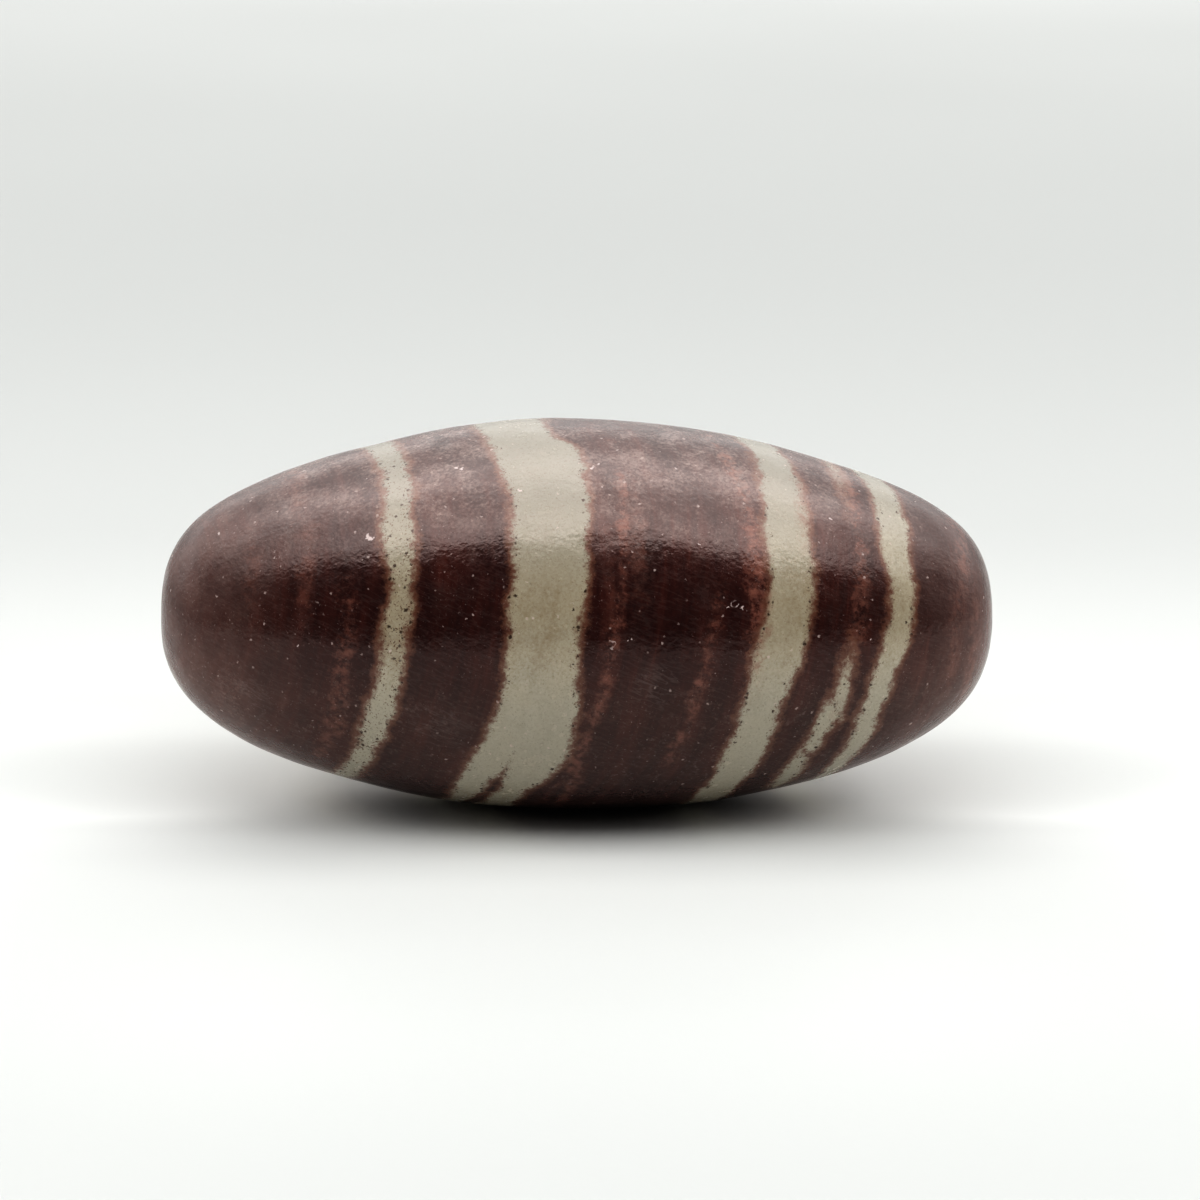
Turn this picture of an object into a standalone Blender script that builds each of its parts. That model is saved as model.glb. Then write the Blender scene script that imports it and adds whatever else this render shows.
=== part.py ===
"""River pebble: one smooth, blunt-ended ovoid of banded stone.

The stone lies on its long side. X runs along it, Y from front to back and Z up. The origin is under its
middle, on the surface that it rests on, and everything is in metres.
"""

import math

import bmesh
import bpy
from mathutils import Matrix, Vector

# Driving dimensions.
LENGTH = 0.0760       # end to end
DEPTH = 0.0374        # front to back
HEIGHT = 0.0358       # top to belly, before the belly wore flat
REST_WEAR = 0.00015   # stone lost under the belly, which leaves the small flat that the stone rests on

# How far the ends are blunted: 0 is a plain ellipsoid, and more pushes the shoulders out.
END_BLUNTNESS = 0.125

# How the girth of the top and of the belly changes along the stone, as shares of it: taper thins the
# flanks, shoulder fills them again near the ends, and lean makes the +X half fuller than the -X half.
TOP = {"lean": -0.015, "taper": 0.27, "shoulder": 0.24}
BELLY = {"lean": 0.018, "taper": 0.085, "shoulder": 0.045}

# Mesh density.
STATIONS = 48         # steps from end to end
RING_POINTS = 72      # points around the girth

# Finish of the bare stone.
STONE_COLOUR = (0.060, 0.024, 0.020, 1.0)
STONE_ROUGHNESS = 0.42

POLE = 1e-6           # a ring with a smaller radius than this is one of the two end points


def clear_scene():
    """Remove whatever the file held before."""
    for obj in list(bpy.data.objects):
        bpy.data.objects.remove(obj, do_unlink=True)


def fullness(along, side):
    """The girth of one side of the stone, as a share, at along = -1 (left end) to 1 (right end)."""
    return 1 + side["lean"] * along - side["taper"] * along**2 + side["shoulder"] * along**4


def stone_point(ball):
    """Move a point of the unit ball, whose poles are on X, to the surface of the stone."""
    ring = math.hypot(ball.y, ball.z)
    if ring < POLE:
        return Vector((math.copysign(LENGTH / 2, ball.x), 0.0, 0.0))
    front, up = ball.y / ring, ball.z / ring
    top, belly = fullness(ball.x, TOP), fullness(ball.x, BELLY)
    girth = ring ** (1 - 2 * END_BLUNTNESS) * ((top + belly) / 2 + (top - belly) / 2 * up)
    return Vector((LENGTH / 2 * ball.x, DEPTH / 2 * girth * front, HEIGHT / 2 * girth * up))


def stone_material():
    """The plain dark red-brown of the stone, with its satin polish."""
    material = bpy.data.materials.new("banded_stone")
    material.use_nodes = True
    shader = material.node_tree.nodes["Principled BSDF"]
    shader.inputs["Base Color"].default_value = STONE_COLOUR
    shader.inputs["Roughness"].default_value = STONE_ROUGHNESS
    shader.inputs["Metallic"].default_value = 0.0
    return material


def wear_rest_flat(bm):
    """Stand the stone on the ground plane and take off what lies below it, which leaves the rest flat."""
    lowest = min(vert.co.z for vert in bm.verts)
    bmesh.ops.translate(bm, verts=bm.verts, vec=(0.0, 0.0, -lowest - REST_WEAR))
    everything = bm.verts[:] + bm.edges[:] + bm.faces[:]
    bmesh.ops.bisect_plane(bm, geom=everything, plane_co=(0, 0, 0), plane_no=(0, 0, -1), clear_outer=True)
    rim = [edge for edge in bm.edges if edge.is_boundary]
    bmesh.ops.holes_fill(bm, edges=rim, sides=0)


def make_pebble(collection):
    """Build the stone as one closed solid."""
    bm = bmesh.new()
    poles_on_x = Matrix.Rotation(math.radians(90), 4, "Y")
    bmesh.ops.create_uvsphere(
        bm, u_segments=RING_POINTS, v_segments=STATIONS, radius=1.0, matrix=poles_on_x
    )
    for vert in bm.verts:
        vert.co = stone_point(vert.co)
    wear_rest_flat(bm)
    bmesh.ops.recalc_face_normals(bm, faces=bm.faces)
    mesh = bpy.data.meshes.new("pebble")
    bm.to_mesh(mesh)
    bm.free()
    mesh.shade_smooth()
    mesh.materials.append(stone_material())
    pebble = bpy.data.objects.new("pebble", mesh)
    collection.objects.link(pebble)
    return pebble


def main():
    clear_scene()
    collection = bpy.data.collections.new("river_pebble")
    bpy.context.scene.collection.children.link(collection)
    make_pebble(collection)


main()
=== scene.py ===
# %% [markdown]
# # A banded river pebble
#
# The object is one stone: a smooth ovoid of dark red-brown rock, crossed by pale beds. The beds were laid
# down flat, and now they cut the stone at a slant. A river rounded it, and handling gave it a satin polish.
#
# Two things make such a stone look real. Its form is almost regular, but not quite. And its pattern runs
# through the rock, so that a bed which leaves the front comes round the back where it should. Both are made
# from rules here: the form with Geometry Nodes, and the rock with one solid, three-dimensional material.

# %% Load the frame
import math
import random

import bpy
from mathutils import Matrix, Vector


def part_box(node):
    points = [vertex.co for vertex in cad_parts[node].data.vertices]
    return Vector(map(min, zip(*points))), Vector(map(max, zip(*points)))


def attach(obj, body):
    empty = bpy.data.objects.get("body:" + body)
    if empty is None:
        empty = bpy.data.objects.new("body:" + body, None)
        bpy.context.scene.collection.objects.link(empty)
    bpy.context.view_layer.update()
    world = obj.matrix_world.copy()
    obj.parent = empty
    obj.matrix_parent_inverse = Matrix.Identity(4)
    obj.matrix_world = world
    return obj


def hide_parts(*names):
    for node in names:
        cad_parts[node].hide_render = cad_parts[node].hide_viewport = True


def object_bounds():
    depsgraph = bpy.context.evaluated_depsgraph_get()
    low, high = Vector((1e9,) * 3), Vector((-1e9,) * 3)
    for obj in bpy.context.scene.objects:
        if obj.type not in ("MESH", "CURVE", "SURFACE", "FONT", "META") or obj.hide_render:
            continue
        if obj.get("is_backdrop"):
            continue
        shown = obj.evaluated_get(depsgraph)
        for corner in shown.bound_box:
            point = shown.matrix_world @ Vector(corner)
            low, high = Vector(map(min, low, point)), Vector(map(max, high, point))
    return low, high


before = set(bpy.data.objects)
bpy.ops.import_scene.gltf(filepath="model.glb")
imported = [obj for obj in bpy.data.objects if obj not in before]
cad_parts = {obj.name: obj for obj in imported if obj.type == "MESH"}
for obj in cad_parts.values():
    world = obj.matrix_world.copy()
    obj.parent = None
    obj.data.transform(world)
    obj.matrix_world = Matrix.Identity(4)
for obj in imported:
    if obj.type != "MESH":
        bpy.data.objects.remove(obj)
cad_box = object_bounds()
low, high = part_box("pebble")
print("stone, mm:", [round(1000 * (b - a), 2) for a, b in zip(low, high)])

# %% [markdown]
# ## Sizes
#
# The stone's length, depth and height come from the frame. The numbers that shape its flanks are shares of
# the girth, and have no unit. Marks on the stone are placed as a stonecutter would place them: so many
# millimetres along it, and so many degrees round its girth.

# %% Sizes of the stone
MM = 0.001
REST_WEAR = 0.15 * MM
LENGTH = high.x - low.x
DEPTH = high.y - low.y
HEIGHT = high.z - low.z + REST_WEAR
END_BLUNTNESS = 0.125
TOP = {"Lean": -0.015, "Taper": 0.27, "Shoulder": 0.24}
BELLY = {"Lean": 0.018, "Taper": 0.085, "Shoulder": 0.045}
CENTRE_UP = HEIGHT / 2 - REST_WEAR


def fullness(along, side):
    """The girth of one side of the stone, as a share, from along = -1 (left end) to 1 (right end)."""
    return 1 + side["Lean"] * along - side["Taper"] * along**2 + side["Shoulder"] * along**4


def on_stone(x, angle):
    """The point x mm along the stone and angle degrees round it (0 is the front, 90 the top), in mm."""
    along = x * MM / (LENGTH / 2)
    up, front = math.sin(math.radians(angle)), -math.cos(math.radians(angle))
    top, belly = fullness(along, TOP), fullness(along, BELLY)
    girth = (1 - along**2) ** (0.5 - END_BLUNTNESS) * ((top + belly) / 2 + (top - belly) / 2 * up)
    return Vector((x, front * girth * DEPTH / 2 / MM, up * girth * HEIGHT / 2 / MM))


print("the front of the stone at half height, mm:", [round(c, 2) for c in on_stone(0, 0)])

# %% [markdown]
# ## The camera
#
# The stone is seen from a little above, from 35 cm away with a long lens, so its outline has almost no
# perspective. The camera stands a little to the right of the stone's middle, and is kept level.

# %% Camera
CAMERA_UP_DEG = 15.0
CAMERA_AWAY = 0.350
FIELD_DEG = 17.88
AIM = Vector((0.00216, 0.0, CENTRE_UP + 0.00127))

camera_data = bpy.data.cameras.new("camera")
camera_data.sensor_width = 36
camera_data.angle = math.radians(FIELD_DEG)
camera_data.clip_start = 0.01
camera = bpy.data.objects.new("camera", camera_data)
tilt = math.radians(CAMERA_UP_DEG)
camera.location = AIM + CAMERA_AWAY * Vector((0, -math.cos(tilt), math.sin(tilt)))
camera.rotation_euler = (math.radians(90) - tilt, 0, 0)
bpy.context.scene.collection.objects.link(camera)
bpy.context.scene.camera = camera
print("lens, mm:", round(camera_data.lens, 1))

# %% [markdown]
# ## Sums in nodes
#
# The form and the rock are both formulas, and a formula drawn with one node for each plus sign is hard to
# read. A small class fixes that. It wraps a socket, so that Python's own + - * / add the Math nodes, and the
# script reads like the sum it stands for.

# %% A socket that can do sums
def feed(tree, socket, value):
    """Link a wire to a socket, or type a plain value into it."""
    if isinstance(value, Wire):
        tree.links.new(value.socket, socket)
    else:
        socket.default_value = value


def maths(tree, operation, *values):
    node = tree.nodes.new("ShaderNodeMath")
    node.operation = operation
    for socket, value in zip(node.inputs, values):
        feed(tree, socket, value)
    return Wire(tree, node.outputs[0])


class Wire:
    """A socket of a node tree that can be used in sums like a number."""

    def __init__(self, tree, socket):
        self.tree, self.socket = tree, socket

    def do(self, operation, *others):
        return maths(self.tree, operation, self, *others)

    def __add__(self, other):
        return self.do("ADD", other)

    __radd__ = __add__

    def __sub__(self, other):
        return self.do("SUBTRACT", other)

    def __rsub__(self, other):
        return maths(self.tree, "SUBTRACT", other, self)

    def __mul__(self, other):
        return self.do("MULTIPLY", other)

    __rmul__ = __mul__

    def __truediv__(self, other):
        return self.do("DIVIDE", other)

    def __rtruediv__(self, other):
        return maths(self.tree, "DIVIDE", other, self)

    def __pow__(self, other):
        return self.do("POWER", other)

    def __abs__(self):
        return self.do("ABSOLUTE")

    def most(self, other):
        return self.do("MAXIMUM", other)

    def least(self, other):
        return self.do("MINIMUM", other)

    def rise(self, start, end):
        """0 up to start, 1 from end on, and a smooth step between."""
        node = self.tree.nodes.new("ShaderNodeMapRange")
        node.interpolation_type = "SMOOTHSTEP"
        feed(self.tree, node.inputs["Value"], self)
        feed(self.tree, node.inputs["From Min"], start)
        feed(self.tree, node.inputs["From Max"], end)
        return Wire(self.tree, node.outputs["Result"])

    def fall(self, start, end):
        """1 up to start, 0 from end on, and a smooth step between."""
        return 1 - self.rise(start, end)


def vector_maths(operation, first, second, output="Vector"):
    tree = first.tree
    node = tree.nodes.new("ShaderNodeVectorMath")
    node.operation = operation
    feed(tree, node.inputs[0], first)
    feed(tree, node.inputs["Scale" if operation == "SCALE" else 1], second)
    return Wire(tree, node.outputs[output])


def split(vector):
    """The x, y and z of a vector wire, or the red, green and blue of a colour wire."""
    node = vector.tree.nodes.new("ShaderNodeSeparateXYZ")
    feed(vector.tree, node.inputs[0], vector)
    return [Wire(vector.tree, socket) for socket in node.outputs]


def join(tree, *parts):
    """One vector wire from three numbers or wires."""
    node = tree.nodes.new("ShaderNodeCombineXYZ")
    for socket, value in zip(node.inputs, parts):
        feed(tree, socket, value)
    return Wire(tree, node.outputs[0])


NOISE_SPREAD = 3.0  # a noise node stays mostly within a third of its middle value


def noise(vector, size, seed=0.0, detail=1.0, roughness=0.5):
    """Soft noise, mostly from -1 to 1, in lumps about that wide. seed picks another stretch of the noise."""
    node = vector.tree.nodes.new("ShaderNodeTexNoise")
    feed(vector.tree, node.inputs["Vector"], vector_maths("ADD", vector, (seed, -seed, 2 * seed)))
    feed(vector.tree, node.inputs["Scale"], 1 / size)
    node.inputs["Detail"].default_value = detail
    node.inputs["Roughness"].default_value = roughness
    return (Wire(vector.tree, node.outputs[0]) - 0.5) * NOISE_SPREAD


print("sums in nodes are ready")

# %% [markdown]
# ## The form
#
# A water-worn stone could be sculpted, or grown from a coarse cage with a Subdivision Surface. This one is
# regular enough to follow a rule, so Geometry Nodes make it. A ball whose poles lie on the long axis is
# stretched, its girth is pushed out towards the ends, and its top is tapered more than its belly.
#
# Nature spoils the rule a little: slow waves and smaller ripples run over the surface, and stones that
# knocked together in the river left shallow dents. Those are real shape, so they are in the mesh.

# %% The sizes that drive the form
FORM_SIZES = {
    "Length": LENGTH, "Depth": DEPTH, "Height": HEIGHT, "Rest Wear": REST_WEAR,
    "End Bluntness": END_BLUNTNESS,
    **{"Top " + word: value for word, value in TOP.items()},
    **{"Belly " + word: value for word, value in BELLY.items()},
    "Wave Height": 0.13 * MM, "Wave Size": 13 * MM,
    "Ripple Height": 0.040 * MM, "Ripple Size": 4 * MM,
    "Dent Depth": 0.05 * MM, "Dent Radius": 1.5 * MM, "Dent Density": 9000.0,
}
FORM_COUNTS = {"Points Around": 320, "Stations": 308, "Seed": 7}

form = bpy.data.node_groups.new("Pebble Form", "GeometryNodeTree")
for name, value in FORM_SIZES.items():
    form.interface.new_socket(name, in_out="INPUT", socket_type="NodeSocketFloat").default_value = value
for name, value in FORM_COUNTS.items():
    form.interface.new_socket(name, in_out="INPUT", socket_type="NodeSocketInt").default_value = value
form.interface.new_socket("Rock", in_out="INPUT", socket_type="NodeSocketMaterial")
form.interface.new_socket("Geometry", in_out="OUTPUT", socket_type="NodeSocketGeometry")
form_inputs = form.nodes.new("NodeGroupInput")
size_of = {socket.name: Wire(form, socket) for socket in form_inputs.outputs if socket.name}


def form_node(kind, output, inputs, **settings):
    """Add a geometry node, feed its inputs by name, and give back one of its outputs."""
    node = form.nodes.new(kind)
    for name, value in settings.items():
        setattr(node, name, value)
    for name, value in inputs.items():
        feed(form, node.inputs[name], value)
    return Wire(form, node.outputs[output])


print(len(size_of), "named inputs drive the form")

# %% The ball, stretched and blunted
ball = form.nodes.new("GeometryNodeMeshUVSphere")
feed(form, ball.inputs["Segments"], size_of["Points Around"])
feed(form, ball.inputs["Rings"], size_of["Stations"])
with_map = form_node(
    "GeometryNodeStoreNamedAttribute", "Geometry",
    {
        "Geometry": Wire(form, ball.outputs["Mesh"]),
        "Name": "OFBake",
        "Value": Wire(form, ball.outputs["UV Map"]),
    },
    data_type="FLOAT2", domain="CORNER",
)
place = form_node("GeometryNodeInputPosition", "Position", {})
normal = form_node("GeometryNodeInputNormal", "Normal", {})


def fullness_in_nodes(along, side):
    square = along * along
    lean, taper, shoulder = (size_of[f"{side} {word}"] for word in ("Lean", "Taper", "Shoulder"))
    return 1 + lean * along - taper * square + shoulder * square * square


ball_x, ball_y, along = split(place)
ring = (ball_x * ball_x + ball_y * ball_y).do("SQRT").most(1e-6)
up, front = -1 * ball_x / ring, ball_y / ring
top, belly = fullness_in_nodes(along, "Top"), fullness_in_nodes(along, "Belly")
girth = ring ** (1 - 2 * size_of["End Bluntness"]) * ((top + belly) / 2 + (top - belly) / 2 * up)
stone_place = join(
    form,
    along * size_of["Length"] / 2,
    front * girth * size_of["Depth"] / 2,
    up * girth * size_of["Height"] / 2,
)
regular = form_node("GeometryNodeSetPosition", "Geometry", {"Geometry": with_map, "Position": stone_place})
print("the ball has", FORM_COUNTS["Points Around"] * FORM_COUNTS["Stations"], "faces")

# %% [markdown]
# The dents are scattered with a fixed seed, each with a size of its own. Every point of the surface looks for
# the dent nearest to it, and sinks by an amount that fades smoothly from the dent's middle to its rim.

# %% Waves, ripples and dents
dents = form_node(
    "GeometryNodeDistributePointsOnFaces", "Points",
    {"Mesh": regular, "Density": size_of["Dent Density"], "Seed": size_of["Seed"]},
)
nearest_dent = form_node("GeometryNodeSampleNearest", "Index", {"Geometry": dents}, domain="POINT")
dent_share = form_node("FunctionNodeRandomValue", 1, {"Seed": size_of["Seed"]}, data_type="FLOAT")


def of_nearest_dent(value, data_type):
    """A value that belongs to the dent nearest to each point."""
    inputs = {"Geometry": dents, "Value": value, "Index": nearest_dent}
    return form_node("GeometryNodeSampleIndex", "Value", inputs, data_type=data_type, domain="POINT")


share = 0.35 + 0.65 * of_nearest_dent(dent_share, "FLOAT")
dent_place = of_nearest_dent(place, "FLOAT_VECTOR")
reach = vector_maths("DISTANCE", place, dent_place, output="Value") / (share * size_of["Dent Radius"])
hollow = (1 - reach * reach).most(0.0)
sink = hollow * hollow * share * size_of["Dent Depth"]
waves = noise(place, size_of["Wave Size"], 0.31) * size_of["Wave Height"]
ripples = noise(place, size_of["Ripple Size"], 0.17) * size_of["Ripple Height"]
uneven = form_node(
    "GeometryNodeSetPosition", "Geometry",
    {"Geometry": regular, "Offset": vector_maths("SCALE", normal, waves + ripples - sink)},
)
print("waves, ripples and dents are laid over the form")

# %% [markdown]
# Last, the stone is stood on the ground and loses what lies below it. That leaves the small worn flat that it
# rests on, just as in the frame.

# %% The worn flat, and the finished mesh
lowest = form_node(
    "GeometryNodeAttributeStatistic", "Min",
    {"Geometry": uneven, "Attribute": split(place)[2]}, data_type="FLOAT",
)
stood_x, stood_y, stood_z = split(place)
stood = join(form, stood_x, stood_y, (stood_z - lowest - size_of["Rest Wear"]).most(0.0))
resting = form_node("GeometryNodeSetPosition", "Geometry", {"Geometry": uneven, "Position": stood})
smooth = form_node("GeometryNodeSetShadeSmooth", "Geometry", {"Geometry": resting})
real = form_node("GeometryNodeRealizeInstances", "Geometry", {"Geometry": smooth})
finished = form_node("GeometryNodeSetMaterial", "Geometry", {"Geometry": real, "Material": size_of["Rock"]})
form_output = form.nodes.new("NodeGroupOutput")
feed(form, form_output.inputs["Geometry"], finished)
print("the form has", len(form.nodes), "nodes")

# %% [markdown]
# ## The rock
#
# Colour could be painted on the skin, but this stone is a piece of layered rock, and the layers show wherever
# the skin cuts them. So every mark is worked out from where a point lies in the rock. The first coordinate is
# the distance across the beds, which lie slanted to the stone's length. The second is the angle round the
# girth, which tells where along a bed the point is.

# %% Where a point lies in the rock
BED_SLANT_Y = 0.305
BED_SLANT_Z = -0.202

rock = bpy.data.materials.new("banded_stone")
rock.use_nodes = True
tree = rock.node_tree
shader = tree.nodes["Principled BSDF"]

coordinates = tree.nodes.new("ShaderNodeTexCoord")
from_middle = vector_maths("ADD", Wire(tree, coordinates.outputs["Object"]), (0, 0, -CENTRE_UP))
rock_place = vector_maths("SCALE", from_middle, 1 / MM)
rock_x, rock_y, rock_z = split(rock_place)
angle = rock_z.do("ARCTAN2", -1 * rock_y) * math.degrees(1)


def across_beds(x, y, z):
    """The distance across the beds, in mm from the stone's middle. It takes numbers or wires."""
    return x + BED_SLANT_Y * y + BED_SLANT_Z * z


across = across_beds(rock_x, rock_y, rock_z)
print("the beds lean, degrees:", round(math.degrees(math.atan(BED_SLANT_Y)), 1),
      round(math.degrees(math.atan(BED_SLANT_Z)), 1))

# %% [markdown]
# ## Pale beds
#
# Four pale beds cross the stone. Perfect slabs would look printed, because real beds swell, pinch and wander.
# So each bed has a few marks where its two faces come out on the stone: the angle round the girth, and how
# far along the stone each face is. On the far side it keeps to its own plane, and wanders a little.

# %% Where the beds come out
BEDS = {
    "left narrow bed": [
        (96, -19.7, -17.1), (72, -17.7, -15.1), (48, -16.8, -14.4), (37, -16.8, -14.3), (24, -16.2, -14.25),
        (14, -16.9, -14.5), (0, -17.0, -15.15), (-10, -17.85, -15.5), (-24, -18.85, -16.7),
        (-56, -21.5, -19.7)],
    "broad bed": [
        (96, -9.4, -3.0), (80, -8.2, -2.2), (73, -7.5, -0.65), (64, -6.7, 0.65), (48, -5.65, 1.1),
        (16, -5.8, 0.7), (0, -6.05, 0.4), (-16, -7.3, 0.0), (-32, -9.3, -1.2), (-50, -10.9, -4.75),
        (-66, -11.9, -6.0)],
    "middle bed": [
        (96, 14.6, 17.9), (64, 16.6, 20.1), (44, 16.8, 20.65), (24, 16.95, 20.85), (0, 15.4, 19.9),
        (-17, 14.45, 18.0), (-32, 13.2, 16.9), (-56, 10.8, 14.2)],
    "right narrow bed": [
        (96, 25.2, 28.2), (64, 26.9, 29.4), (42, 27.05, 29.8), (24, 27.85, 30.0), (0, 26.9, 29.3),
        (-18, 25.6, 27.7), (-32, 24.9, 26.9), (-56, 22.5, 24.4)],
}
FAR_SIDE = (120, 140, 160, 180, -160, -140, -120, -95)
FAR_WANDER = 0.45


def mark_across(x, mark_angle):
    return across_beds(*on_stone(x, mark_angle))


def round_the_stone(marks):
    """A wire that has each value at its angle, and runs smoothly between them, all the way round."""
    node = tree.nodes.new("ShaderNodeFloatCurve")
    curve = node.mapping.curves[0]
    values = [value for _, value in marks]
    base, span = min(values), max(max(values) - min(values), 0.01)
    back = (dict(marks)[180] - base) / span
    curve.points[0].location, curve.points[-1].location = (0, back), (1, back)
    for mark_angle, value in marks:
        if abs(mark_angle) < 180:
            curve.points.new((mark_angle + 180) / 360, (value - base) / span)
    node.mapping.update()
    feed(tree, node.inputs["Value"], (angle + 180) / 360)
    return Wire(tree, node.outputs[0]) * span + base


def bed_depth(marks, chance):
    """How deep a point lies inside a pale bed, in mm. It is negative outside."""
    faces = []
    for side in (1, 2):
        face = [(mark[0], mark_across(mark[side], mark[0])) for mark in marks]
        middle = sum(value for _, value in face) / len(face)
        face += [(far, middle + chance.uniform(-FAR_WANDER, FAR_WANDER)) for far in FAR_SIDE]
        faces.append(round_the_stone(face))
    left_face, right_face = faces
    return (across - left_face).least(right_face - across)


chance = random.Random(4)
bed_depths = {name: bed_depth(marks, chance) for name, marks in BEDS.items()}
for name, marks in BEDS.items():
    print(name, "is", round(sum(mark[2] - mark[1] for mark in marks) / len(marks), 1), "mm thick")

# %% [markdown]
# Thin lenses of pale or rusty rock lie between the beds: two marks say where a lens starts and ends, and it
# is thickest halfway. A wedge of dark rock splits the foot of the broad bed. It opens downwards from its tip,
# and thins out again behind the stone.

# %% Lenses and the wedge
PALE_LENSES = [  # x and angle where each starts and where it ends, and half its thickness, in mm and degrees
    (22.6, 106, 23.9, 74, 0.58), (24.0, -1, 23.3, -20, 0.74), (22.8, -16, 20.3, -42, 0.92),
    (20.7, -32, 18.0, -64, 1.00),
]
RUST_LENSES = [  # the same, and then how rusty, from 0 to 1
    (22.8, 104, 24.9, 60, 0.62, 1.0), (25.3, 46, 24.5, 0, 0.70, 0.6), (12.8, 80, 15.4, 48, 0.42, 0.95),
    (15.5, 42, 15.9, 0, 1.00, 0.85), (19.8, 68, 20.3, 40, 0.45, 0.7), (3.9, 58, 4.3, 36, 0.32, 0.8),
    (5.2, 48, 5.6, 20, 0.70, 0.35), (2.9, 36, 3.0, 4, 0.55, 0.25), (3.9, 16, -0.2, -32, 0.42, 0.75),
    (0.5, -30, -1.6, -60, 0.45, 0.65), (12.0, 8, 9.2, -24, 0.40, 0.80), (-20.0, 12, -22.9, -46, 0.66, 0.60),
    (-26.3, 104, -24.8, 60, 0.50, 0.5), (-23.9, 50, -23.9, 20, 0.50, 0.35), (-29.0, 52, -28.8, 24, 0.40, 0.3),
    (34.2, 98, 34.5, 20, 0.70, 0.8), (33.7, 18, 33.7, -18, 0.50, 0.5), (35.9, 20, 34.6, -60, 0.60, 0.6),
]
WEDGE = (-6.05, -33, -9.0, -60, 0.55)  # x and angle of the tip, x and angle farther on, half thickness
WEDGE_OPENING = 0.10  # mm for each degree from the tip
WEDGE_END = -165  # the angle where it has thinned out
WEDGE_CLOSING = 0.012  # mm for each degree from there


def lens_depth(x_start, angle_start, x_end, angle_end, half_thickness):
    """How deep a point lies inside a lens, in mm. It is negative outside."""
    start, end = mark_across(x_start, angle_start), mark_across(x_end, angle_end)
    share = (angle - (angle_start + angle_end) / 2) / ((angle_end - angle_start) / 2)
    off = (across - ((start + end) / 2 + (end - start) / 2 * share)) / half_thickness
    return half_thickness * (1 - (off * off + share * share).do("SQRT"))


def wedge_depth(x_tip, angle_tip, x_far, angle_far, half_thickness):
    """How deep a point lies inside a wedge that opens downwards from its tip and thins out behind, in mm."""
    tip, far = mark_across(x_tip, angle_tip), mark_across(x_far, angle_far)
    middle = (angle - angle_tip) * ((far - tip) / (angle_far - angle_tip)) + tip
    opening, closing = (angle_tip - angle) * WEDGE_OPENING, (angle - WEDGE_END) * WEDGE_CLOSING
    return opening.least(closing).least(half_thickness) - abs(across - middle)


def deepest(depths):
    """The depth in whichever of several bodies of rock a point is deepest in."""
    deepest_yet = depths[0]
    for depth in depths[1:]:
        deepest_yet = deepest_yet.most(depth)
    return deepest_yet


pale_lens_depth = deepest([lens_depth(*lens) for lens in PALE_LENSES])
whole_depth = deepest(list(bed_depths.values())).least(-1 * wedge_depth(*WEDGE)).most(pale_lens_depth)
print(len(PALE_LENSES), "pale lenses and", len(RUST_LENSES), "rusty ones")

# %% [markdown]
# ## Edges of the beds
#
# Where a pale bed meets the dark rock, iron has soaked across grain by grain. So the edge is ragged, and
# between dark and pale there is a soft brown rim. Noise is added to the depth itself, and every grain of a
# cell pattern shifts it a little more. The rim, the pale rock and the specks are then all read off this one
# depth.

# %% Helpers for patterns
def rgb(red, green, blue):
    return (red, green, blue, 1.0)


def mix(share, first, second):
    """The first colour where share is 0, and the second where it is 1."""
    node = tree.nodes.new("ShaderNodeMix")
    node.data_type = "RGBA"
    feed(tree, node.inputs["Factor"], share)
    colour_inputs = [socket for socket in node.inputs if socket.type == "RGBA"]
    colour_output = next(socket for socket in node.outputs if socket.type == "RGBA")
    feed(tree, colour_inputs[0], first)
    feed(tree, colour_inputs[1], second)
    return Wire(tree, colour_output)


def shaken(vector, size, amount):
    """The same place, moved by up to about amount mm, so that what is drawn there has no neat outline."""
    node = tree.nodes.new("ShaderNodeTexNoise")
    feed(tree, node.inputs["Vector"], vector)
    feed(tree, node.inputs["Scale"], 1 / size)
    node.inputs["Detail"].default_value = 1.0
    push = vector_maths("SUBTRACT", Wire(tree, node.outputs["Color"]), (0.5, 0.5, 0.5))
    return vector_maths("ADD", vector, vector_maths("SCALE", push, NOISE_SPREAD * amount))


def cells(vector, size, seed):
    """Scattered grains: the distance to the nearest one, and two random numbers that it keeps."""
    node = tree.nodes.new("ShaderNodeTexVoronoi")
    feed(tree, node.inputs["Vector"], vector_maths("ADD", vector, (seed, -seed, 2 * seed)))
    feed(tree, node.inputs["Scale"], 1 / size)
    first, second, _ = split(Wire(tree, node.outputs["Color"]))
    return Wire(tree, node.outputs["Distance"]) * size, first, second


SHAKE_SIZE, SHAKE = 0.22, 0.10  # mm

uneven = shaken(rock_place, SHAKE_SIZE, SHAKE)
print("patterns are shaken by up to", SHAKE, "mm")

# %% Ragged depth
EDGE_WANDER, EDGE_RAGGEDNESS, GRAIN_SHIFT = 0.40, 0.36, 0.24  # mm
EDGE_GRAIN = 0.27  # mm
PALE_FROM, PALE_TO = -0.28, 0.40  # the depths where the pale rock starts and where it is full
RIM_OUTSIDE, RIM_INSIDE = (-0.85, -0.15), (0.10, 0.70)  # the depths where the rim comes and goes

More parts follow.
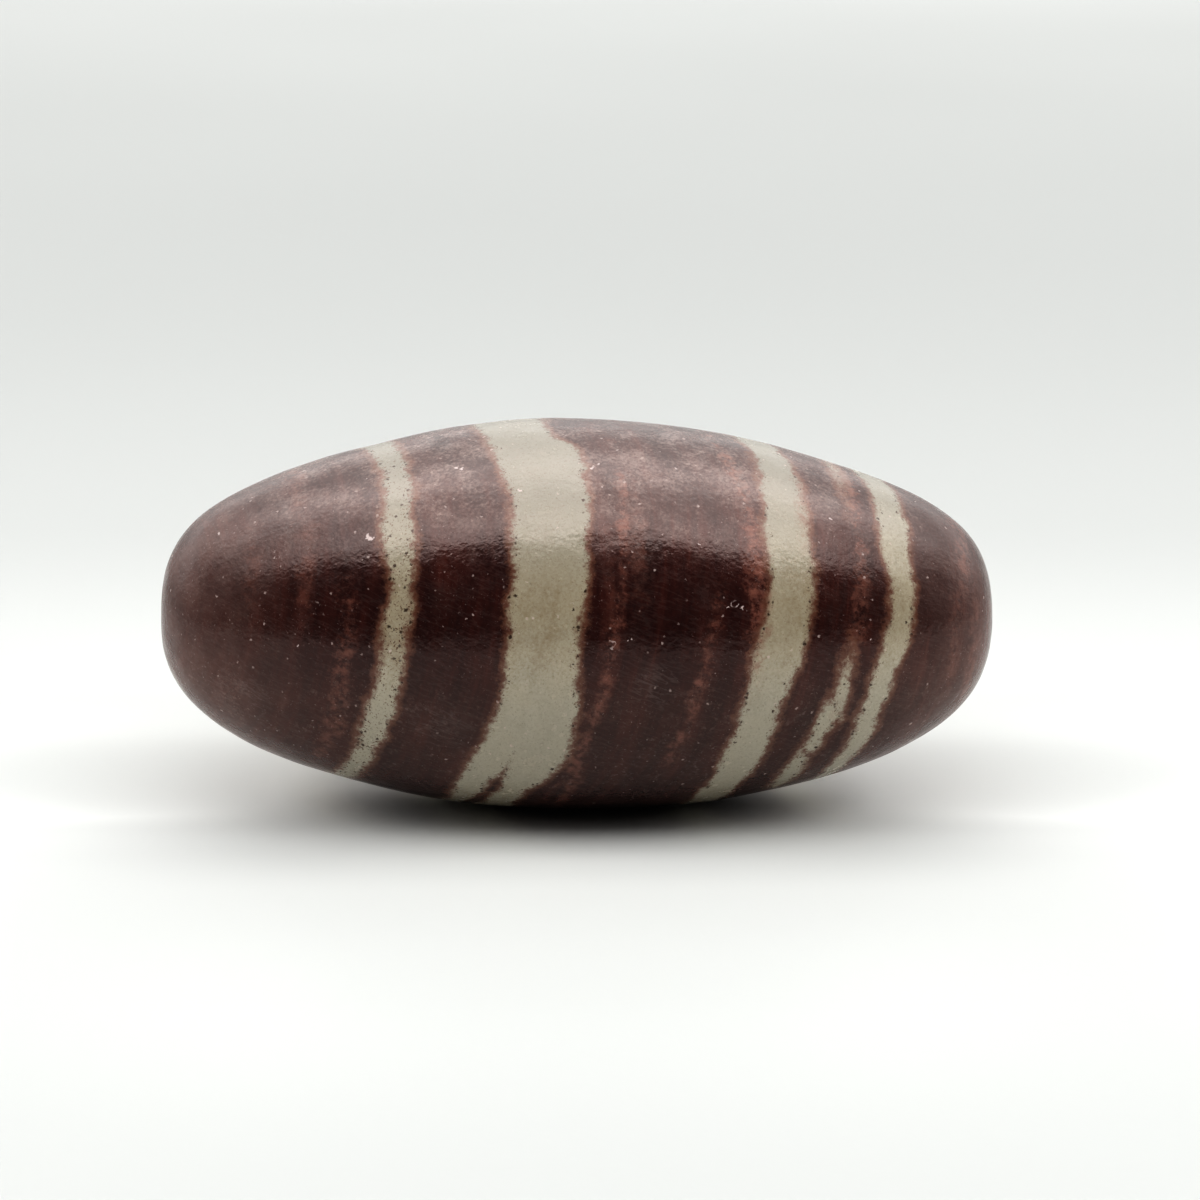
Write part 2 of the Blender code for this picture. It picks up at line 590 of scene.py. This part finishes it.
_, grain_shift, _ = cells(uneven, EDGE_GRAIN, 5.0)
ragged = (
    noise(rock_place, 2.4, 1.3) * EDGE_WANDER
    + noise(rock_place, 0.75, 2.7, detail=3.0, roughness=0.65) * EDGE_RAGGEDNESS
    + (grain_shift - 0.5) * GRAIN_SHIFT
)
depth = whole_depth + ragged
pale = depth.rise(PALE_FROM, PALE_TO)
rim = depth.rise(*RIM_OUTSIDE) * depth.fall(*RIM_INSIDE)
print("the brown rim runs over", round(RIM_INSIDE[1] - RIM_OUTSIDE[0], 2), "mm of depth")

# %% [markdown]
# ## Colours of the rock
#
# The dark rock is fine in the grain, and a deep brown with a little red, as iron makes it. It is cloudy over
# centimetres and streaked along the beds. The pale rock is a grey-green cream, stained tan here and there.
# Both ends of the stone are paler. The pale rock carries painted shade round the front and on the upper side.

# %% The dark rock
DARK_BROWN = rgb(0.047, 0.022, 0.021)
DARK_REDDER = rgb(0.095, 0.036, 0.030)
DARK_GREYER = rgb(0.074, 0.048, 0.044)
RUST = rgb(0.285, 0.138, 0.106)
RIM_BROWN = rgb(0.208, 0.109, 0.077)
END_PALE = rgb(0.190, 0.118, 0.102)
END_PALE_FROM, END_PALE_TO = 22, 38  # mm from the middle

along_beds = join(tree, across, rock_y * 0.12, rock_z * 0.12)
streaks = noise(along_beds, 1.3, 5.1, detail=3.0, roughness=0.65)
clouds = noise(rock_place, 7.0, 3.3, detail=3.0, roughness=0.6)
scuffs = noise(rock_place, 3.0, 8.4, detail=4.0, roughness=0.65)
grain = noise(uneven, 0.30, 6.2, detail=1.0)

dark = mix((clouds * 0.4 + streaks * 0.6 + 0.45).rise(0.1, 1.1), DARK_BROWN, DARK_REDDER)
dark = mix(scuffs.rise(0.0, 0.9) * 0.55, dark, DARK_GREYER)
dark = mix((grain * 0.5 + 0.5).rise(0.3, 1.2) * 0.45, dark, DARK_REDDER)

end_share = abs(rock_x - 1).rise(END_PALE_FROM, END_PALE_TO)
rust_cover = deepest([(lens_depth(*lens) + ragged * 1.3).rise(-0.55, 0.45) * how_rusty
                      for *lens, how_rusty in RUST_LENSES])
rust_mottle = (noise(uneven, 0.8, 9.9, detail=3.0, roughness=0.65) * 0.9 + 0.55).rise(0.05, 0.95)
faint_streaks = (streaks + end_share * 0.3).rise(0.30, 1.3) * (0.22 + end_share * 0.12)
dark = mix((rust_cover * rust_mottle).most(faint_streaks), dark, RUST)
# Both ends of the stone are made paler.
dark = mix(end_share * (scuffs * 0.3 + 0.45).most(0.0), dark, END_PALE)
print("dark rock:", DARK_BROWN[:3])

# %% The pale rock
PALE_CREAM = rgb(0.515, 0.471, 0.376)
PALE_TAN = rgb(0.340, 0.283, 0.200)
PALE_GREY = rgb(0.519, 0.495, 0.420)
PALE_SHADED_TOP = rgb(0.340, 0.320, 0.276)
FRONT_SHADE_MIDDLE_DEG, FRONT_SHADE_SPREAD_DEG = 18.0, 28.0
UPPER_FROM, UPPER_TO = 5, 15  # heights over the stone's middle, in mm
UNDER_FROM, UNDER_TO = 1, -5
FOOT_FROM, FOOT_TO = -11, -16

pale_clouds = noise(rock_place, 3.5, 12.5, detail=4.0, roughness=0.65)
pale_streaks = noise(along_beds, 0.9, 17.7, detail=2.0)
# Painted shade: round the front, about 18 degrees up, the pale rock is darker and tanner. It goes in with the
# real tan stains below.
front_painted_shade = (abs(angle - FRONT_SHADE_MIDDLE_DEG) + clouds * 8).fall(0.0, FRONT_SHADE_SPREAD_DEG)
stain = (pale_clouds * 0.9 + pale_streaks * 0.4 + grain * 0.4).rise(-0.2, 0.9)
cream = mix((pale_clouds * 0.5 + 0.5).rise(0.2, 1.0), PALE_CREAM, PALE_GREY)
cream = mix((front_painted_shade * 0.55 + stain * 0.50).least(1.0), cream, PALE_TAN)
pale_grain = noise(uneven, 0.24, 14.1, detail=1.0)
cream = mix((pale_grain * 0.6 + 0.5).rise(0.2, 1.3) * 0.60, cream, PALE_TAN)
upper_side = rock_z.rise(UPPER_FROM, UPPER_TO)
under_side = rock_z.fall(UNDER_TO, UNDER_FROM) * rock_z.rise(FOOT_TO, FOOT_FROM)
# Painted reflection of the white sheet: the pale rock is lighter and greyer on the lower flank.
cream = mix(under_side * 0.55, cream, PALE_GREY)
# Painted shade: the pale rock is darker on the upper side, where the light falls strongest.
cream = mix(upper_side * 0.85, cream, PALE_SHADED_TOP)
cream = mix(rust_cover * rust_mottle * 0.75, cream, RUST)
print("pale rock:", PALE_CREAM[:3])

# %% [markdown]
# ## Specks
#
# Specks give the scale away. Grains of a nearly black mineral crowd along the edges of the pale beds, and all
# through the left narrow one. Tiny pits all over the stone hold pale dust. Both are cells of a Voronoi
# pattern: each cell keeps a random number that says whether it has a speck, and another for its size. Finer
# brown grains and finer specks of dust come from plain noise.

# %% Dark grains and dusty pits
DARK_GRAIN = rgb(0.050, 0.030, 0.022)
BROWN_GRAIN = rgb(0.130, 0.070, 0.045)
DUST = rgb(0.620, 0.520, 0.490)
GRAIN_CELL, PIT_CELL = 0.46, 0.66  # mm
PIT_SHARE = 0.33  # of the cells

grain_distance, grain_chance, grain_size = cells(uneven, GRAIN_CELL, 3.0)
near_edge = depth.rise(-0.35, 0.0) * depth.fall(0.30, 0.80)
left_bed_share = bed_depths["left narrow bed"].rise(-0.6, 0.2)
grain_share = 0.012 + near_edge * 0.46 + left_bed_share * 0.14
has_grain = (grain_share - grain_chance).rise(0.0, 0.03)
dark_grain = has_grain * (grain_distance - 0.03 - grain_size * 0.12).fall(-0.06, 0.09)
pepper = noise(uneven, 0.17, 51.0).rise(0.20, 0.75) * (left_bed_share * 0.45 + near_edge * 0.55 + 0.20)

pit_distance, pit_chance, pit_size = cells(uneven, PIT_CELL, 7.0)
has_pit = (PIT_SHARE - pit_chance).rise(0.0, 0.03)
pit = has_pit * (pit_distance - 0.01 - pit_size ** 3 * 0.11).fall(-0.04, 0.08)
fine_specks = noise(uneven, 0.20, 33.0).rise(0.45, 0.90) * (0.5 + clouds).rise(0.0, 1.0)
print("about one cell in", round(1 / PIT_SHARE), "has a pit")

# %% [markdown]
# ## Nicks, scuffs, dust and painted sheen
#
# Knocks have left a few marks that the eye goes to: small pale chips, a little ring where a flake came off,
# and soft grey patches of fine scratches. A pale film on the upper side is partly dust and partly painted
# sheen, thicker in some places, and a fainter one on the lower flank is a painted reflection of the sheet.

# %% Nicks and scuffs
NICK_PALE = rgb(0.700, 0.600, 0.580)
SCRATCH_GREY = rgb(0.360, 0.300, 0.280)
CHIPS = [  # x, angle and radius, in mm and degrees
    (-18.3, 41.3, 0.32), (-18.0, 40.6, 0.26), (-10.6, 65.2, 0.26), (-10.1, 64.4, 0.22), (-4.9, 53.5, 0.22),
    (4.6, 8.3, 0.13), (5.0, 8.5, 0.12), (14.6, 17.4, 0.16), (13.3, 17.6, 0.12), (10.9, 36.4, 0.16),
    (8.9, 64.0, 0.24), (1.5, 62.0, 0.26), (2.0, 63.5, 0.20), (-7.5, 21.0, 0.14), (-32.0, 58.0, 0.20),
    (-27.5, 12.0, 0.18), (-24.4, 4.0, 0.16), (22.6, 52.0, 0.22), (26.0, 6.0, 0.15),
]
RINGS = [(3.2, 7.0, 0.30), (13.9, 18.9, 0.34)]  # x and angle of the middle, and radius
SCUFFED = [(-12.0, -20.0, 3.4), (7.0, -6.0, 3.0), (-30.0, -22.0, 4.0)]  # the same
RING_THICKNESS = 0.09


def distance_to(x, mark_angle, place):
    """How far a point of the rock is from a mark on the skin, in mm."""
    return vector_maths("DISTANCE", place, on_stone(x, mark_angle), output="Value")


nick_place = shaken(rock_place, 0.35, 0.22)
ring_left = noise(rock_place, 0.7, 41.0).rise(-0.1, 0.5) * 0.7
nick = deepest([distance_to(x, mark_angle, nick_place).fall(radius * 0.4, radius)
                for x, mark_angle, radius in CHIPS])
for x, mark_angle, radius in RINGS:
    off_ring = abs(distance_to(x, mark_angle, nick_place) - radius)
    nick = nick.most(off_ring.fall(RING_THICKNESS * 0.4, RING_THICKNESS) * ring_left)

scratch_place = join(tree, rock_x * 0.35 - rock_z * 0.30, rock_y * 0.5, rock_z * 2.2 + rock_x * 0.9)
scratches = abs(noise(scratch_place, 1.1, 27.0, detail=2.0)).fall(0.02, 0.16)
scuffed = deepest([distance_to(x, mark_angle, rock_place).fall(0.2 * radius, radius)
                   for x, mark_angle, radius in SCUFFED])
scratch = scratches * (scuffed * 0.12 + 0.05) + scuffed * (scuffs * 0.5 + 0.4).rise(0.0, 1.0) * 0.10
print(len(CHIPS), "chips,", len(RINGS), "rings and", len(SCUFFED), "scuffed patches")

# %% All the colours together
DUST_AND_SHEEN = rgb(0.490, 0.382, 0.342)
TOP_FROM, TOP_TO = 9, 15  # mm over the middle

on_top = rock_z.rise(TOP_FROM, TOP_TO)
# The pale film: dust and painted sheen on the upper side and the top, and a painted reflection of the sheet
# on the lower flank. The spots are the same film in small patches.
sheen_and_dust_patches = (scuffs * 0.9 + grain * 0.5 + 0.5).rise(0.1, 1.3)
dust_and_sheen_share = sheen_and_dust_patches * (upper_side * 0.17 + on_top * 0.22) + on_top * 0.07 + under_side * 0.07
dust_and_sheen_spots = noise(uneven, 0.45, 35.0, detail=2.0).rise(0.15, 0.8) * (0.5 + scuffs).rise(0.0, 1.0)
colour = mix(rim * 0.80, dark, RIM_BROWN)
colour = mix(pale, colour, mix(pepper, cream, BROWN_GRAIN))
colour = mix(dark_grain * depth.rise(-0.45, -0.05) * 0.90, colour, DARK_GRAIN)
# Here the film of dust, painted sheen and painted reflection goes on.
colour = mix((dust_and_sheen_share + dust_and_sheen_spots * (upper_side * 0.38 + under_side * 0.20)) * (1 - pale * 0.8), colour, DUST_AND_SHEEN)
colour = mix(scratch * (1 - pale * 0.6), colour, SCRATCH_GREY)
colour = mix((pit * (0.20 + pit_size ** 2 * 0.45)).most(fine_specks * 0.32), colour, DUST)
colour = mix(nick * 0.90, colour, NICK_PALE)
feed(tree, shader.inputs["Base Color"], colour)
# The film's colour is dust and painted sheen.
print("dust on the upper side:", DUST_AND_SHEEN[:3])

# %% [markdown]
# ## Polish
#
# The stone is worn to a satin, so it mirrors the light overhead as a wide, soft sheen. The sheen breaks up
# because the skin has lumps far too small to model: they go into the bump, in real millimetres. The pits and
# nicks are duller than the skin round them. They stay out of the bump, because it works out its height three
# times over at every point.

# %% Satin and fine bump
SATIN = 0.21
QUARTZ_IOR = 1.55
SHEEN_TINT = rgb(1.0, 0.87, 0.84)
FINE_LUMPS, SOFT_LUMPS = 0.012, 0.024  # mm

skin_rough = (
    SATIN + noise(rock_place, 1.6, 15.2, detail=3.0, roughness=0.6) * 0.10 + scuffs * 0.05
    + pale * 0.02 + (pit + nick).least(1.0) * 0.25 + scuffed * 0.05
)
feed(tree, shader.inputs["Roughness"], skin_rough)
shader.inputs["IOR"].default_value = QUARTZ_IOR
shader.inputs["Specular Tint"].default_value = SHEEN_TINT

fine_lumps = noise(rock_place, 0.40, 21.0, detail=2.0, roughness=0.6) * FINE_LUMPS
soft_lumps = noise(rock_place, 2.0, 23.0, detail=2.0) * SOFT_LUMPS
bump = tree.nodes.new("ShaderNodeBump")
bump.inputs["Strength"].default_value = 1.0
bump.inputs["Distance"].default_value = MM
feed(tree, bump.inputs["Height"], fine_lumps + soft_lumps)
tree.links.new(bump.outputs["Normal"], shader.inputs["Normal"])
print("the rock has", len(tree.nodes), "nodes")

# %% [markdown]
# ## The stone itself
#
# The tree is put on an object as a modifier, its inputs are set, and Blender works it out once. The result is
# copied to a plain mesh, which keeps the stone easy to export and quick to render.

# %% Make the stone
TOUCHING = 0.0001 * MM

seedling = bpy.data.objects.new("pebble form", bpy.data.meshes.new("pebble form"))
bpy.context.scene.collection.objects.link(seedling)
growth = seedling.modifiers.new("Pebble Form", "NODES")
growth.node_group = form
socket_of = {item.name: item.identifier for item in form.interface.items_tree if item.in_out == "INPUT"}
for name, value in {**FORM_SIZES, **FORM_COUNTS, "Rock": rock}.items():
    growth[socket_of[name]] = value

grown = seedling.evaluated_get(bpy.context.evaluated_depsgraph_get())
mesh = bpy.data.meshes.new_from_object(grown)
mesh.name = "river_pebble"
bpy.data.objects.remove(seedling)
pebble = bpy.data.objects.new("river_pebble", mesh)
bpy.context.scene.collection.objects.link(pebble)
heights = [vertex.co.z for vertex in mesh.vertices]
print("triangles:", sum(len(face.vertices) - 2 for face in mesh.polygons))
print("from", round(min(heights) / MM, 3), "to", round(max(heights) / MM, 3), "mm high;",
      sum(h < TOUCHING for h in heights), "points rest on the ground")

# %% [markdown]
# ## Floor
#
# The stone rests on a plain white sheet that runs on far behind it. Even a plain sheet has some life: faint
# clouds in its white, a grain in its roughness, and a tooth too fine to see except where light grazes it. It
# is matt all through, so it needs no mirror layer. Light is painted into its white: it is whiter close round
# the stone, which lightens the stone's shadow, and far behind it, which evens out the light there.

# %% Floor
FLOOR_HALF = 1.0
SHEET_WHITE = rgb(0.700, 0.708, 0.695)
SHEET_WHITER = rgb(0.890, 0.900, 0.882)  # close round the stone, and far behind it
SHEET_ROUGHNESS, SHEET_TOOTH = 0.3, 0.003  # the second in mm

floor_corners = [(FLOOR_HALF * x, FLOOR_HALF * y, 0.0) for x, y in ((-1, -1), (1, -1), (1, 1), (-1, 1))]
floor_mesh = bpy.data.meshes.new("floor")
floor_mesh.from_pydata(floor_corners, [], [(0, 1, 2, 3)])
floor = bpy.data.objects.new("floor", floor_mesh)
bpy.context.scene.collection.objects.link(floor)

sheet = bpy.data.materials.new("white sheet")
sheet.use_nodes = True
tree = sheet.node_tree
tree.nodes.clear()
sheet_output = tree.nodes.new("ShaderNodeOutputMaterial")
sheet_shader = tree.nodes.new("ShaderNodeBsdfDiffuse")
tree.links.new(sheet_shader.outputs[0], sheet_output.inputs["Surface"])
sheet_coordinates = tree.nodes.new("ShaderNodeTexCoord")
sheet_place = vector_maths("SCALE", Wire(tree, sheet_coordinates.outputs["Object"]), 1 / MM)
sheet_x, sheet_y, _ = split(sheet_place)
sheet_clouds = noise(sheet_place, 180.0, 2.0)
# Painted light: the sheet is whiter beside and in front of the stone, where its shadow falls, and far behind
# it.
in_front = sheet_y * -1  # all in mm from under the stone's middle
middle = abs(sheet_x).fall(20, 50)
beside = sheet_y.rise(-10, -2) * (sheet_y.fall(18, 34) * 0.55 + sheet_y.fall(25, 110) * 0.45)
before_ends = in_front.rise(2, 6) * (1 - middle) * (0.32 + in_front.fall(8, 18) * 0.25)
before_middle = in_front.rise(14, 27) * middle * 0.65
before = in_front.fall(38, 95) * (before_ends + before_middle)
sheet_share = beside + before + sheet_y.rise(180, 560) * 0.47 + sheet_clouds * 0.04
feed(tree, sheet_shader.inputs["Color"], mix(sheet_share.least(1.0).most(0.0), SHEET_WHITE, SHEET_WHITER))
feed(tree, sheet_shader.inputs["Roughness"], SHEET_ROUGHNESS + sheet_clouds * 0.1)
sheet_tooth = tree.nodes.new("ShaderNodeBump")
sheet_tooth.inputs["Distance"].default_value = MM
feed(tree, sheet_tooth.inputs["Height"], noise(sheet_place, 0.8, 6.0) * SHEET_TOOTH)
tree.links.new(sheet_tooth.outputs["Normal"], sheet_shader.inputs["Normal"])
floor_mesh.materials.append(sheet)
print("the floor is", 2 * FLOOR_HALF, "m square")

# %% [markdown]
# ## Light
#
# A satin stone shows two things: light that soaks into the rock, and light that its polish mirrors. They are
# lit apart here, as a studio does it with flags and cards. Soft boxes light the rock and the sheet only, so
# the near flank stays deep in colour and the shadow soft. What the polish mirrors is drawn in the
# surroundings: a broad panel right overhead, and a pale room.

# %% Soft boxes for the rock and the sheet
SOFT_BOXES = {  # place, aim, width, depth, radiance
    "wide box overhead": ((0, -0.22, 0.5), (0, -0.22, 0), 1.6, 0.4, 1.09),
    "left box": ((-0.7, -0.2, 0.5), (0, 0, 0), 0.5, 0.5, 2.10),
    "right box": ((0.7, -0.2, 0.5), (0, 0, 0), 0.5, 0.5, 2.10),
    "far back box": ((0, 1.3, 0.6), (0, 0.7, 0), 1.4, 0.7, 2.25),
}

for name, (place, aim, width, depth, radiance) in SOFT_BOXES.items():
    light_data = bpy.data.lights.new(name, "AREA")
    light_data.shape = "RECTANGLE"
    light_data.size, light_data.size_y = width, depth
    light_data.energy = radiance * math.pi * width * depth
    box_light = bpy.data.objects.new(name, light_data)
    box_light.location = place
    box_light.rotation_euler = (Vector(aim) - Vector(place)).to_track_quat("-Z", "Y").to_euler()
    box_light.visible_camera = False
    box_light.visible_glossy = False
    bpy.context.scene.collection.objects.link(box_light)
print(len(SOFT_BOXES), "soft boxes")

# %% [markdown]
# Directions in the surroundings have three parts: aside, behind and up. Divided by the height they say where
# a line of sight meets a flat panel overhead, so the panel can be drawn there with soft edges. Behind the
# stone is a pale wall that gets brighter with height, and in front of it the room is dark.

# %% What the polish mirrors
WALL_FOOT, WALL, CEILING, SIDES = 0.50, 1.06, 1.50, 0.37  # brightness
PANEL_FRONT, PANEL_BACK = (-0.65, -0.48), (0.25, 0.95)  # where each edge starts and ends, for a height of 1
PANELS = {  # how far out the side edges start and end; brightness
    "narrow panel": (0.45, 0.95, 1.15),
    "wide panel": (1.00, 1.60, 1.00),
    "front strip": (0.60, 1.20, 1.00),
}
STRIP_BACK = (-0.20, 0.0)

world = bpy.data.worlds.new("studio")
world.use_nodes = True
world.cycles.sampling_method = "NONE"
bpy.context.scene.world = world
tree = world.node_tree
tree.nodes.clear()
directions = tree.nodes.new("ShaderNodeTexCoord")
aside, behind, up = split(Wire(tree, directions.outputs["Generated"]))
off_side = abs(aside)

height = up.most(0.05)
panel_back, panel_out = behind / height, off_side / height
narrow, wide, strip = (panel_out.fall(start, end) * brightness for start, end, brightness in PANELS.values())
panel = (narrow + wide + strip * panel_back.fall(*STRIP_BACK)) * panel_back.rise(*PANEL_FRONT)
mirrored = (
    panel * panel_back.fall(*PANEL_BACK)
    + behind.rise(-0.6, 0.5) * up.fall(0.1, 0.35) * WALL_FOOT
    + behind.rise(-0.2, 0.5) * up.rise(0.1, 0.35) * up.fall(0.5, 0.8) * WALL
    + behind.rise(-0.1, 0.4) * up.rise(0.5, 0.8) * CEILING
    + off_side.rise(0.45, 0.9) * up.rise(-0.05, 0.3) * behind.rise(-0.7, -0.2) * SIDES
)
print(len(PANELS), "panels overhead")

# %% [markdown]
# The rock and the sheet get a low glow from behind and from both sides. Seen past the sheet, the surroundings
# are one even, pale tone. Which of the three is used depends on the kind of ray that leaves the scene.

# %% Pale surroundings
SEEN_BRIGHTNESS = 0.485
ROOM_TINT = rgb(0.985, 1.0, 0.995)
GLOWS = {"behind": ((0, 1, 0.25), 1.18), "left": ((-1, 0, 0.35), 0.27), "right": ((1, 0, 0.35), 0.27)}


def glow(direction, strength):
    """A round glow in the surroundings, brightest in one direction."""
    to_glow = Vector(direction).normalized()
    facing = (aside * to_glow.x + behind * to_glow.y + up * to_glow.z).most(0.0)
    return facing * facing * facing * facing * strength


def surroundings(strength):
    node = tree.nodes.new("ShaderNodeBackground")
    node.inputs["Color"].default_value = ROOM_TINT
    feed(tree, node.inputs["Strength"], strength)
    return node.outputs[0]


def choose(kind_of_ray, chosen, otherwise):
    node = tree.nodes.new("ShaderNodeMixShader")
    tree.links.new(light_path.outputs[kind_of_ray], node.inputs[0])
    tree.links.new(otherwise, node.inputs[1])
    tree.links.new(chosen, node.inputs[2])
    return node.outputs[0]


light_path = tree.nodes.new("ShaderNodeLightPath")
soaked = surroundings(sum(glow(direction, strength) for direction, strength in GLOWS.values()))
hidden = choose("Is Glossy Ray", surroundings(mirrored), soaked)
world_output = tree.nodes.new("ShaderNodeOutputWorld")
tree.links.new(choose("Is Camera Ray", surroundings(SEEN_BRIGHTNESS), hidden), world_output.inputs["Surface"])
print("the surroundings have", len(tree.nodes), "nodes")

# %% [markdown]
# The view is developed with a steep curve, as a phone camera does it: shadows close, and the white sheet
# comes out just short of pure white.

# %% Development of the view
bpy.context.scene.view_settings.view_transform = "Standard"
bpy.context.scene.view_settings.look = "Very High Contrast"
print("look:", bpy.context.scene.view_settings.look)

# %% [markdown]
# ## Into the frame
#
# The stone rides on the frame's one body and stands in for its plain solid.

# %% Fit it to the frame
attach(pebble, "root")
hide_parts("pebble")
floor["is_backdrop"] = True

visual_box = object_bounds()
for corner, cad_corner in zip(visual_box, cad_box):
    print("corner, mm:", [round(c / MM, 2) for c in corner], "frame:", [round(c / MM, 2) for c in cad_corner])
